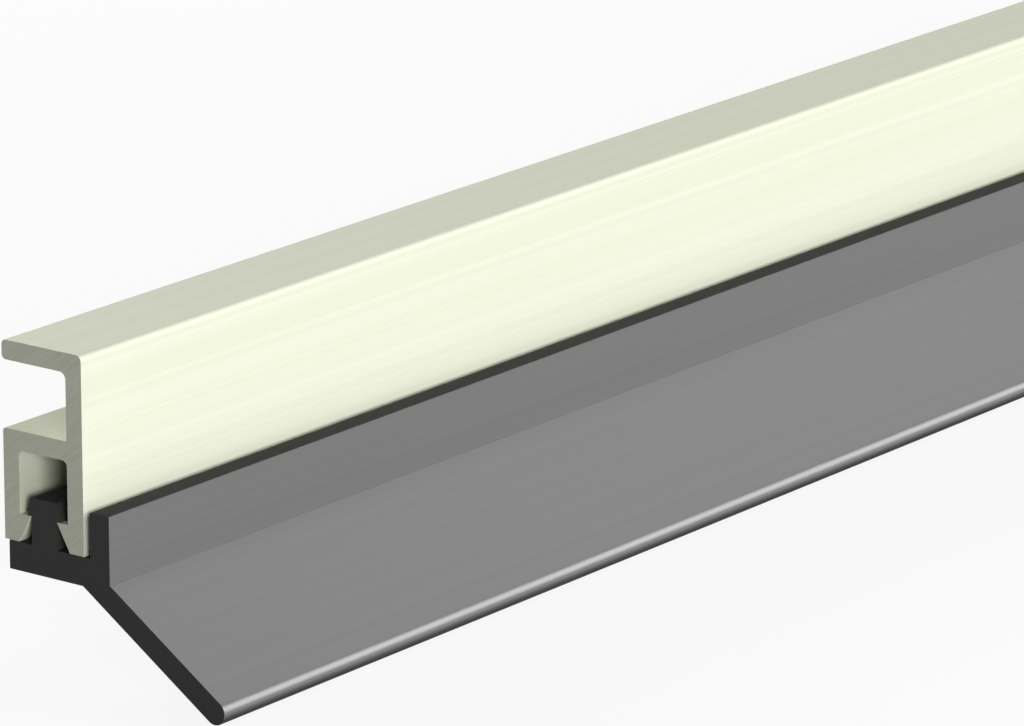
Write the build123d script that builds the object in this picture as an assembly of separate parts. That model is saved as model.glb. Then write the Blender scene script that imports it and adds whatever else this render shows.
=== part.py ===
from build123d import *
from math import cos, radians, sin
import os

# Door bottom seal strip: an extruded metal carrier with a side slot for the door
# and a channel underneath, in which a rubber wiper seal hangs by its barbed root.
# Millimetres. X runs along the strip, -Y is the front, where the lip points, and +Z is up.
# The origin is at mid-length, in the middle of the carrier's top face.

# Both extrusions are sawn to the width of the door leaf.
strip_length = 914.0

# Carrier: an E-shaped section of one wall thickness.
wall = 1.5
slot_height = 5.1           # clear height of the side slot, between top flange and shelf
channel_width = 4.5         # inside width of the rubber channel, between the legs
channel_height = 6.9        # from the underside of the shelf to the feet of the legs
hook_height = 2.15          # from the feet up to the ledges on which the rubber hangs
mouth_width = 2.5           # between the noses of the two hooks
nose_height = 0.1           # upright nose at the tip of each hook
foot_relief = 0.15          # a foot is narrower than its leg by this much
front_edge_radius = 0.5     # outside corner of web and top flange
flange_edge_radius = 0.4    # both corners of the flange's free edge
shelf_edge_radius = 0.3     # outside corner of shelf and back leg
slot_top_radius = 0.55      # inside the slot, under the flange
slot_bottom_radius = 0.15   # inside the slot, on the shelf
channel_radius = 0.45       # inside the channel, under the shelf

# Rubber seal: barbed root, base under the feet, upstand in front of the web, sloping lip.
stem_clearance = 0.05       # between the stem and each hook's nose
barb_overlap = 0.3          # how far each barb reaches over its ledge, past the nose
barb_taper = 0.38           # how much narrower the head is at its top, each side
head_height = 1.42          # from the ledges to the top of the arrow head
head_radius = 0.15          # top corners of the arrow head
base_thickness = 2.2
base_setback = 0.4          # base ends this far short of the carrier's back face
upstand_gap = 0.55          # between the web and the upstand
upstand_thickness = 1.85
upstand_height = 3.45       # above the base
lip_root_drop = 1.7         # from the top of the base down to the lip's upper face
lip_thickness = 1.85
lip_length = 13.1           # along the upper face, from the upstand to the end of the tip
lip_slope = 34.0            # degrees below the horizontal
lip_root_radius = 0.05      # hollow between the upstand and the lip
rubber_edge_radius = 0.12   # outside corners of base and upstand

# Places that the two sections share.
carrier_width = channel_width + 2 * wall
carrier_height = wall + slot_height + wall + channel_height
front_face = -carrier_width / 2
back_face = carrier_width / 2
slot_back = front_face + wall
shelf_top = -wall - slot_height
channel_top = shelf_top - wall
feet = -carrier_height
ledge = feet + hook_height


def rounded(section, radius, *corners):
    """The section with a radius at the vertices that lie at the given corners."""
    picked = [section.vertices().sort_by_distance((y, z))[0] for y, z in corners]
    return fillet(picked, radius)


def extruded(section, name):
    """The strip of the given section, drawn as Y and Z, sawn square at both ends."""
    strip = extrude(Plane.YZ * section, strip_length / 2, both=True)
    strip.label = name
    return strip


def carrier_section():
    """E section: top flange, web in front, shelf, and two hooked legs round the channel."""
    below = (Align.CENTER, Align.MAX)
    slot_depth = back_face - slot_back
    chamber_height = channel_top - ledge
    nose_foot = ledge - nose_height
    lead_in = channel_width / 2 + foot_relief

    block = Rectangle(carrier_width, carrier_height, align=below)
    slot = Pos(slot_back, -wall) * Rectangle(slot_depth, slot_height, align=(Align.MIN, Align.MAX))
    chamber = Pos(0, channel_top) * Rectangle(channel_width, chamber_height, align=below)
    mouth = Pos(0, ledge) * Rectangle(mouth_width, nose_height, align=below)
    flare = Polygon(
        (-mouth_width / 2, nose_foot),
        (-lead_in, feet),
        (lead_in, feet),
        (mouth_width / 2, nose_foot),
        align=None,
    )
    section = block - slot - chamber - mouth - flare

    section = rounded(section, front_edge_radius, (front_face, 0))
    section = rounded(section, flange_edge_radius, (back_face, 0), (back_face, -wall))
    section = rounded(section, slot_top_radius, (slot_back, -wall))
    section = rounded(section, slot_bottom_radius, (slot_back, shelf_top))
    section = rounded(section, shelf_edge_radius, (back_face, shelf_top))
    channel_corners = [(side * channel_width / 2, channel_top) for side in (-1, 1)]
    return rounded(section, channel_radius, *channel_corners)


def lip_section(upstand_front, base_bottom):
    """Lip of even thickness with a full round tip, from the foot of the upstand outwards."""
    along = Vector(-cos(radians(lip_slope)), -sin(radians(lip_slope)))
    down = Vector(sin(radians(lip_slope)), -cos(radians(lip_slope)))
    tip_radius = lip_thickness / 2
    root = Vector(upstand_front, feet - lip_root_drop)
    tip_top = root + along * (lip_length - tip_radius)
    tip_end = tip_top + down * tip_radius + along * tip_radius
    tip_foot = tip_top + down * lip_thickness
    under_rise = (base_bottom - tip_foot.Y) / sin(radians(lip_slope))
    under_root = tip_foot - along * under_rise
    outline = [
        Line(under_root, root),
        Line(root, tip_top),
        ThreePointArc(tip_top, tip_end, tip_foot),
        Line(tip_foot, under_root),
    ]
    return make_face(outline)


def seal_section():
    """Arrow head and stem in the channel, base on the feet, upstand and lip in front."""
    stem_width = mouth_width - 2 * stem_clearance
    barb_width = mouth_width + 2 * barb_overlap
    head_top = ledge + head_height
    head_top_width = barb_width - 2 * barb_taper
    base_bottom = feet - base_thickness
    base_back = back_face - base_setback
    upstand_back = front_face - upstand_gap
    upstand_front = upstand_back - upstand_thickness
    upstand_top = feet + upstand_height
    corner = (Align.MIN, Align.MIN)

    head = Polygon(
        (-barb_width / 2, ledge),
        (-head_top_width / 2, head_top),
        (head_top_width / 2, head_top),
        (barb_width / 2, ledge),
        align=None,
    )
    stem = Pos(0, feet) * Rectangle(stem_width, hook_height, align=(Align.CENTER, Align.MIN))
    base_width = base_back - upstand_front
    base = Pos(upstand_front, base_bottom) * Rectangle(base_width, base_thickness, align=corner)
    upstand = Pos(upstand_front, feet) * Rectangle(upstand_thickness, upstand_height, align=corner)
    section = base + stem + head + upstand + lip_section(upstand_front, base_bottom)

    section = rounded(section, head_radius, (-head_top_width / 2, head_top), (head_top_width / 2, head_top))
    section = rounded(section, lip_root_radius, (upstand_front, feet - lip_root_drop))
    base_corners = [(base_back, feet), (base_back, base_bottom)]
    upstand_corners = [(upstand_front, upstand_top), (upstand_back, upstand_top)]
    return rounded(section, rubber_edge_radius, *base_corners, *upstand_corners)


carrier_profile = extruded(carrier_section(), "carrier_profile")
wiper_seal = extruded(seal_section(), "wiper_seal")

os.makedirs("parts", exist_ok=True)
for piece in (carrier_profile, wiper_seal):
    export_step(piece, f"parts/{piece.label}.step")
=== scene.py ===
from math import cos, pi, radians, sin

import bpy
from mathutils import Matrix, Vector


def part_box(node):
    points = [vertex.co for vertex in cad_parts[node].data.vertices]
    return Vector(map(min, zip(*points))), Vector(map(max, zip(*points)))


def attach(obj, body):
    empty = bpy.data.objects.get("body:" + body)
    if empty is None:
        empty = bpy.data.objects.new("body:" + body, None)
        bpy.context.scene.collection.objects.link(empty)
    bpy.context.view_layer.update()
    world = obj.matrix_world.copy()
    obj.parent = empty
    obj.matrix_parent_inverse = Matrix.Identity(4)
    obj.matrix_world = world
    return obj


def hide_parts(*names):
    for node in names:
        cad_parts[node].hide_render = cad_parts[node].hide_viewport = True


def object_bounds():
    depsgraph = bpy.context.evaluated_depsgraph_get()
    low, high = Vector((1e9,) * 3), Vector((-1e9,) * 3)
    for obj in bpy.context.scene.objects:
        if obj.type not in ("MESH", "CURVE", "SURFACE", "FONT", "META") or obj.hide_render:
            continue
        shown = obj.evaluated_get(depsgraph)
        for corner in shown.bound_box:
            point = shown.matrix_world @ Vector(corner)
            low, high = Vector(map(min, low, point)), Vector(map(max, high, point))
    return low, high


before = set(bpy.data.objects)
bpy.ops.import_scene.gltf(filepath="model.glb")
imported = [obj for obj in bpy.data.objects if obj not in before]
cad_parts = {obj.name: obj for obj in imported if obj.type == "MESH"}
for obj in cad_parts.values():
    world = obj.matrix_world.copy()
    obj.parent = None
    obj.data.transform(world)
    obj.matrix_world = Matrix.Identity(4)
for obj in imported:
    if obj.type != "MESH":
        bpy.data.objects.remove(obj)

cad_low, cad_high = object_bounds()

# The carrier is one aluminium extrusion of E-shaped section, satin anodised in a pale champagne grey.
# It is pushed through a die, so its long faces carry fine lines, and it is sawn to length and deburred.
MM = 0.001
CARRIER_LIGHT = "D1D3C3"
CARRIER_DARK = "C8CBB6"
# The sawn end is darker partly as bare metal and partly as painted shade of the end faces.
SAWN_PAINTED_SHADE_LIGHT = "A3A597"
SAWN_PAINTED_SHADE_DARK = "949688"
# Both finishes scatter the light, so they look only partly metallic.
METALLIC_SHARE = 0.3
ANODISED_DULL = 0.75
ANODISED_BRIGHT = 0.65
SAWN_DULL = 0.68
SAWN_BRIGHT = 0.55
# Real die lines and saw marks lie about 0.05 mm apart. They are drawn coarser here, so that they show.
DIE_LINE_SPACING = 0.18 * MM
DIE_BAND_SPACING = 2.4 * MM
DIE_LINE_LENGTH = 700 * MM
SAW_MARK_SPACING = 0.14 * MM
SAW_MARK_LENGTH = 4 * MM
SAW_ANGLE = radians(38)
MARK_DEPTH = 0.01 * MM
MARK_STRENGTH = 0.3
# A noise of this detail and roughness keeps mostly between the low and the high value.
NOISE_DETAIL = 2.0
NOISE_ROUGHNESS = 0.6
NOISE_LOW = 0.3
NOISE_HIGH = 0.7
DEBURRED_EDGE = 0.045 * MM
EDGE_SEGMENTS = 2
MERGE_DISTANCE = 0.001 * MM
FLAT_ANGLE = radians(1)
SHARP_ANGLE = radians(30)
END_FACING = 0.9


def linear(code):
    """A hex sRGB colour as the linear RGBA that a shader socket takes."""
    channels = [int(code[i:i + 2], 16) / 255 for i in (0, 2, 4)]
    return [c / 12.92 if c <= 0.04045 else ((c + 0.055) / 1.055) ** 2.4 for c in channels] + [1.0]


def new_material(name):
    """A node material with no nodes yet."""
    material = bpy.data.materials.new(name)
    material.use_nodes = True
    material.node_tree.nodes.clear()
    return material


def add_node(material, kind, inputs=None, **settings):
    """Adds a node with its settings; an input is a value, or a socket to link from."""
    node = material.node_tree.nodes.new(kind)
    for name, value in settings.items():
        setattr(node, name, value)
    for name, value in (inputs or {}).items():
        if isinstance(value, bpy.types.NodeSocket):
            material.node_tree.links.new(value, node.inputs[name])
        else:
            node.inputs[name].default_value = value
    return node


def drawn_lines(material, spacing, length):
    """The uneven lines that a die leaves along an extrusion, as a value from 0 to 1."""
    place = add_node(material, "ShaderNodeTexCoord").outputs["Object"]
    along = add_node(material, "ShaderNodeMapping", {
        "Vector": place, "Scale": (1 / length, 1 / spacing, 1 / spacing),
    })
    lines = add_node(material, "ShaderNodeTexNoise", {
        "Vector": along.outputs["Vector"], "Scale": 1.0,
        "Detail": NOISE_DETAIL, "Roughness": NOISE_ROUGHNESS,
    })
    return lines.outputs["Fac"]


def extruded_piece(node, name, edge):
    """A merged copy of an extruded CAD node with its sharp edges broken and smooth rounds."""
    piece = bpy.data.objects.new(name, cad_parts[node].data.copy())
    bpy.context.collection.objects.link(piece)
    bpy.ops.object.select_all(action="DESELECT")
    piece.select_set(True)
    bpy.context.view_layer.objects.active = piece
    bpy.ops.mesh.customdata_custom_splitnormals_clear()
    bpy.ops.object.mode_set(mode="EDIT")
    bpy.ops.mesh.select_mode(type="EDGE")
    bpy.ops.mesh.select_all(action="SELECT")
    bpy.ops.mesh.remove_doubles(threshold=MERGE_DISTANCE)
    bpy.ops.mesh.dissolve_limited(angle_limit=FLAT_ANGLE)
    bpy.ops.mesh.select_all(action="DESELECT")
    bpy.ops.mesh.edges_select_sharp(sharpness=SHARP_ANGLE)
    bpy.ops.mesh.bevel(offset=edge, segments=EDGE_SEGMENTS, affect="EDGES")
    bpy.ops.object.mode_set(mode="OBJECT")
    bpy.ops.object.shade_smooth_by_angle(angle=SHARP_ANGLE)
    bpy.ops.object.modifier_add(type="WEIGHTED_NORMAL")
    piece.modifiers[-1].mode = "FACE_AREA"
    piece.modifiers[-1].keep_sharp = True
    bpy.ops.object.modifier_apply(modifier=piece.modifiers[-1].name)
    return piece


def finish_with(piece, skin, cut):
    """Gives the long faces the extruded skin and the two end faces the cut finish."""
    piece.data.materials.clear()
    piece.data.materials.append(skin)
    piece.data.materials.append(cut)
    for face in piece.data.polygons:
        face.material_index = 1 if abs(face.normal.x) > END_FACING else 0


def anodised_aluminium():
    """Satin anodised skin: its oxide scatters the light, so it is pale, matt and only partly metallic,
    with fine lines and broader bands along the strip."""
    material = new_material("satin_anodised_aluminium")
    lines = drawn_lines(material, DIE_LINE_SPACING, DIE_LINE_LENGTH)
    bands = drawn_lines(material, DIE_BAND_SPACING, DIE_LINE_LENGTH)
    drawn = add_node(material, "ShaderNodeMath", {0: lines, 1: bands}, operation="ADD")
    spread = add_node(material, "ShaderNodeMapRange", {
        "Value": drawn.outputs["Value"], "From Min": 2 * NOISE_LOW, "From Max": 2 * NOISE_HIGH,
    })
    shade = add_node(material, "ShaderNodeMix", {
        "Factor": spread.outputs["Result"], "A": linear(CARRIER_DARK), "B": linear(CARRIER_LIGHT),
    }, data_type="RGBA")
    gloss = add_node(material, "ShaderNodeMapRange", {
        "Value": spread.outputs["Result"], "To Min": ANODISED_DULL, "To Max": ANODISED_BRIGHT,
    })
    relief = add_node(material, "ShaderNodeBump", {
        "Height": lines, "Strength": MARK_STRENGTH, "Distance": MARK_DEPTH,
    })
    shader = add_node(material, "ShaderNodeBsdfPrincipled", {
        "Base Color": shade.outputs["Result"],
        "Roughness": gloss.outputs["Result"],
        "Normal": relief.outputs["Normal"],
        "Metallic": METALLIC_SHARE,
    })
    add_node(material, "ShaderNodeOutputMaterial", {"Surface": shader.outputs["BSDF"]})
    return material


def sawn_aluminium_painted_shade():
    """Sawn end: the same metal without the pale skin, with slanting saw marks. It is darker, partly as
    bare metal and partly as painted shade of the end faces.
    """
    material = new_material("sawn_aluminium_painted_shade")
    place = add_node(material, "ShaderNodeTexCoord").outputs["Object"]
    slant = add_node(material, "ShaderNodeMapping", {
        "Vector": place, "Rotation": (SAW_ANGLE, 0, 0),
    })
    stroke = add_node(material, "ShaderNodeMapping", {
        "Vector": slant.outputs["Vector"],
        "Scale": (1 / SAW_MARK_LENGTH, 1 / SAW_MARK_LENGTH, 1 / SAW_MARK_SPACING),
    })
    marks = add_node(material, "ShaderNodeTexNoise", {
        "Vector": stroke.outputs["Vector"], "Scale": 1.0,
        "Detail": NOISE_DETAIL, "Roughness": NOISE_ROUGHNESS,
    })
    shade = add_node(material, "ShaderNodeMix", {
        "Factor": marks.outputs["Fac"], "A": linear(SAWN_PAINTED_SHADE_DARK), "B": linear(SAWN_PAINTED_SHADE_LIGHT),
    }, data_type="RGBA")
    gloss = add_node(material, "ShaderNodeMapRange", {
        "Value": marks.outputs["Fac"], "From Min": NOISE_LOW, "From Max": NOISE_HIGH,
        "To Min": SAWN_DULL, "To Max": SAWN_BRIGHT,
    })
    relief = add_node(material, "ShaderNodeBump", {
        "Height": marks.outputs["Fac"], "Strength": MARK_STRENGTH, "Distance": MARK_DEPTH,
    })
    shader = add_node(material, "ShaderNodeBsdfPrincipled", {
        "Base Color": shade.outputs["Result"],
        "Roughness": gloss.outputs["Result"],
        "Normal": relief.outputs["Normal"],
        "Metallic": METALLIC_SHARE,
    })
    add_node(material, "ShaderNodeOutputMaterial", {"Surface": shader.outputs["BSDF"]})
    return material


carrier = extruded_piece("carrier_profile", "carrier", DEBURRED_EDGE)
finish_with(carrier, anodised_aluminium(), sawn_aluminium_painted_shade())
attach(carrier, "root")
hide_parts("carrier_profile")

# The wiper seal is one extrusion of black EPDM rubber, with a barbed root that slides into the channel.
# Its skin from the die is matt, its front has a satin slip coat against rubbing, and its ends are cut
# with a knife. The coat's dark grey is painted light: it makes the faces towards the front lighter than
# the black rubber, as if more strongly lit.
RUBBER_LIGHT = "2F2F2F"
RUBBER_DARK = "262626"
# The coat's grey is painted light on the faces towards the front.
PAINTED_LIT_COAT_LIGHT = "525252"
PAINTED_LIT_COAT_DARK = "484848"
CUT_RUBBER_LIGHT = "272727"
CUT_RUBBER_DARK = "1F1F1F"
RUBBER_ROUGHNESS = 0.85
SATIN_ROUGHNESS = 0.38
DULL_ROUGHNESS = 0.76
# A shine of 0.5 is that of smooth plastic. Bare and cut rubber have less, and the coat has more.
RUBBER_SHINE = 0.21
COAT_SHINE = 0.93
CUT_SHINE = 0.35
# Real lines, grain and pores are a few hundredths of a millimetre. They are drawn coarser, to show.
RUBBER_LINE_SPACING = 0.55 * MM
RUBBER_LINE_LENGTH = 600 * MM
RUBBER_GRAIN = 0.12 * MM
RUBBER_STRENGTH = 0.08
CUT_PORE = 0.25 * MM
PORE_DETAIL = 3.0
PORE_ROUGHNESS = 0.65
PORE_DEPTH = 0.02 * MM
PORE_STRENGTH = 0.3
RUBBER_EDGE = 0.03 * MM
# A face gets the coat, whose grey is painted light, where its normal has less Y than this, and is satin
# where it is wider than this.
COAT_AND_PAINTED_LIGHT_SIDE = -0.3
SATIN_WIDTH = 0.03 * MM
# How full the coat is from each height up, over the lowest line of the tip. Lower down it is thinner, so
# the
# tip turns darker towards its underside: painted shade, with the roughness rising as well.
COAT_AND_PAINTED_SHADE_BY_HEIGHT = {0.60 * MM: 0.25, 0.72 * MM: 0.5, 0.86 * MM: 1.0}


def extruded_rubber(name, coat_and_painted_light=0, coat_roughness=SATIN_ROUGHNESS):
    """Extruded skin with faint lines and a very fine grain. Bare, with a coat of 0, it is black and matt.
    A full coat of 1 is smoother, with a soft sheen where its roughness is low, and dark grey; that grey
    is painted light."""
    material = new_material(name)
    place = add_node(material, "ShaderNodeTexCoord").outputs["Object"]
    lines = drawn_lines(material, RUBBER_LINE_SPACING, RUBBER_LINE_LENGTH)
    grain = add_node(material, "ShaderNodeTexNoise", {
        "Vector": place, "Scale": 1 / RUBBER_GRAIN,
        "Detail": NOISE_DETAIL, "Roughness": NOISE_ROUGHNESS,
    })
    rubber = add_node(material, "ShaderNodeMix", {
        "Factor": lines, "A": linear(RUBBER_DARK), "B": linear(RUBBER_LIGHT),
    }, data_type="RGBA")
    # The coat's lighter grey is painted light.
    painted_lit_grey = add_node(material, "ShaderNodeMix", {
        "Factor": lines, "A": linear(PAINTED_LIT_COAT_DARK), "B": linear(PAINTED_LIT_COAT_LIGHT),
    }, data_type="RGBA")
    shade = add_node(material, "ShaderNodeMix", {
        "Factor": coat_and_painted_light, "A": rubber.outputs["Result"], "B": painted_lit_grey.outputs["Result"],
    }, data_type="RGBA")
    height = add_node(material, "ShaderNodeMath", {0: grain.outputs["Fac"], 1: lines}, operation="ADD")
    relief = add_node(material, "ShaderNodeBump", {
        "Height": height.outputs["Value"], "Strength": RUBBER_STRENGTH, "Distance": MARK_DEPTH,
    })
    shader = add_node(material, "ShaderNodeBsdfPrincipled", {
        "Base Color": shade.outputs["Result"],
        "Normal": relief.outputs["Normal"],
        "Roughness": RUBBER_ROUGHNESS + coat_and_painted_light * (coat_roughness - RUBBER_ROUGHNESS),
        "Specular IOR Level": RUBBER_SHINE + coat_and_painted_light * (COAT_SHINE - RUBBER_SHINE),
    })
    add_node(material, "ShaderNodeOutputMaterial", {"Surface": shader.outputs["BSDF"]})
    return material


def cut_rubber():
    """Knife-cut end: matt black with a fine open grain."""
    material = new_material("cut_epdm_rubber")
    place = add_node(material, "ShaderNodeTexCoord").outputs["Object"]
    pores = add_node(material, "ShaderNodeTexNoise", {
        "Vector": place, "Scale": 1 / CUT_PORE, "Detail": PORE_DETAIL, "Roughness": PORE_ROUGHNESS,
    })
    shade = add_node(material, "ShaderNodeMix", {
        "Factor": pores.outputs["Fac"], "A": linear(CUT_RUBBER_DARK), "B": linear(CUT_RUBBER_LIGHT),
    }, data_type="RGBA")
    relief = add_node(material, "ShaderNodeBump", {
        "Height": pores.outputs["Fac"], "Strength": PORE_STRENGTH, "Distance": PORE_DEPTH,
    })
    shader = add_node(material, "ShaderNodeBsdfPrincipled", {
        "Base Color": shade.outputs["Result"],
        "Normal": relief.outputs["Normal"],
        "Roughness": RUBBER_ROUGHNESS,
        "Specular IOR Level": CUT_SHINE,
    })
    add_node(material, "ShaderNodeOutputMaterial", {"Surface": shader.outputs["BSDF"]})
    return material


seal = extruded_piece("wiper_seal", "wiper", RUBBER_EDGE)
finish_with(seal, extruded_rubber("extruded_epdm_rubber"), cut_rubber())
first_painted_lit_coat = len(seal.data.materials)
for share in COAT_AND_PAINTED_SHADE_BY_HEIGHT.values():
    seal.data.materials.append(extruded_rubber(f"satin_slip_coat_painted_light_{round(100 * share)}", share))
dull_painted_lit_coat = len(seal.data.materials)
seal.data.materials.append(extruded_rubber("dull_slip_coat_painted_light", 1, DULL_ROUGHNESS))
# The coat is on what faces the front, and its grey there is painted light. It thins out where the tip
# of the lip turns under, as painted shade. On narrow faces, which are the hollow over the lip and the
# edges, it stays dull.
carrier_low, carrier_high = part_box("carrier_profile")
seal_low, seal_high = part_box("wiper_seal")
satin_area = SATIN_WIDTH * (seal_high.x - seal_low.x)
for face in seal.data.polygons:
    steps = sum(face.center.z - seal_low.z > height for height in COAT_AND_PAINTED_SHADE_BY_HEIGHT)
    in_front = face.center.y < carrier_low.y and face.normal.y < COAT_AND_PAINTED_LIGHT_SIDE
    if in_front and steps:
        face.material_index = first_painted_lit_coat + steps - 1 if face.area > satin_area else dull_painted_lit_coat
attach(seal, "root")
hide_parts("wiper_seal")

# The floor is a plain white sheet just under the lip's tip.
# It shows white to the camera and in reflections, and keeps a soft shadow of the strip.
FLOOR_COLOUR = "E8E8E8"
WHITE = "FFFFFF"
FLOOR_SIZE = 60.0
FLOOR_GAP = 0.05 * MM
FLOOR_LIFT = 0.88

bpy.ops.object.select_all(action="DESELECT")
bpy.ops.mesh.primitive_plane_add(size=FLOOR_SIZE, location=(0, 0, cad_low.z - FLOOR_GAP))
floor = bpy.context.object
floor.name = "floor"
white_sheet = new_material("white_floor_sheet")
rays = add_node(white_sheet, "ShaderNodeLightPath")
seen = add_node(white_sheet, "ShaderNodeMath", {
    0: rays.outputs["Is Camera Ray"], 1: rays.outputs["Is Glossy Ray"],
}, operation="MAXIMUM")
seen = add_node(white_sheet, "ShaderNodeMath", {
    0: seen.outputs["Value"], 1: rays.outputs["Is Transmission Ray"],
}, operation="MAXIMUM")
lift = add_node(white_sheet, "ShaderNodeMath", {
    0: seen.outputs["Value"], 1: FLOOR_LIFT,
}, operation="MULTIPLY")
matt = add_node(white_sheet, "ShaderNodeBsdfDiffuse", {"Color": linear(FLOOR_COLOUR)})
glow = add_node(white_sheet, "ShaderNodeEmission", {"Color": linear(WHITE), "Strength": 1.0})
mixed = add_node(white_sheet, "ShaderNodeMixShader", {
    0: lift.outputs["Value"], 1: matt.outputs["BSDF"], 2: glow.outputs["Emission"],
})
add_node(white_sheet, "ShaderNodeOutputMaterial", {"Surface": mixed.outputs["Shader"]})
floor.data.materials.append(white_sheet)

# The light is soft and the same all along the strip. A key from the right and a fill from the left
# light the front, a lamp behind lights the top and the back, and a small one at the side puts a sheen
# on the lip. A level of 1 shows a surface that faces the lamp in its own colour.
LAMPS = {
    "right_key": {"azimuth": 46, "elevation": 18, "spread": 38, "level": 0.87},
    "left_fill": {"azimuth": -35, "elevation": 9, "spread": 24, "level": 0.85},
    "back_light": {"azimuth": 166, "elevation": 24, "spread": 36, "level": 0.99},
    "side_sheen": {"azimuth": 84, "elevation": 42, "spread": 24, "level": 0.12},
}
ROOM_LEVEL = 0.09

for name, lamp in LAMPS.items():
    turn = (pi / 2 - radians(lamp["elevation"]), 0, radians(lamp["azimuth"]))
    bpy.ops.object.light_add(type="SUN", rotation=turn)
    light = bpy.context.object
    light.name = name
    light.data.energy = pi * lamp["level"]
    light.data.angle = radians(lamp["spread"])

room = bpy.data.worlds.new("room")
room.use_nodes = True
room.node_tree.nodes["Background"].inputs["Color"].default_value = linear(WHITE)
room.node_tree.nodes["Background"].inputs["Strength"].default_value = ROOM_LEVEL
bpy.context.scene.world = room

# The camera stands low in front of the strip's left end, with a long lens.
# It is set by where the carrier's front top corner shows in the picture, and at what scale.
VIEW_AZIMUTH = -52.66
VIEW_ELEVATION = 16.187
PICTURE_WIDTH = 1024
PICTURE_HEIGHT = 726
SENSOR_WIDTH = 36.0
LENS = 253.27
CORNER_PIXEL = (80.57, 356.18)
CORNER_PIXELS_PER_MM = 14.082

focal_pixels = LENS / SENSOR_WIDTH * PICTURE_WIDTH
azimuth = radians(VIEW_AZIMUTH)
elevation = radians(VIEW_ELEVATION)
right = Vector((cos(azimuth), sin(azimuth), 0))
back = Vector((sin(azimuth) * cos(elevation), -cos(azimuth) * cos(elevation), sin(elevation)))
up = back.cross(right)
pixel = MM / CORNER_PIXELS_PER_MM
across = (CORNER_PIXEL[0] - PICTURE_WIDTH / 2) * pixel
above = (PICTURE_HEIGHT / 2 - CORNER_PIXEL[1]) * pixel
corner = Vector((carrier_low.x, carrier_low.y, carrier_high.z))
stand = corner - right * across - up * above + back * focal_pixels * pixel
bpy.ops.object.camera_add(location=stand, rotation=(pi / 2 - elevation, 0, azimuth))
camera = bpy.context.object
camera.data.sensor_width = SENSOR_WIDTH
camera.data.lens = LENS
bpy.context.scene.camera = camera
bpy.context.scene.view_settings.view_transform = "Standard"
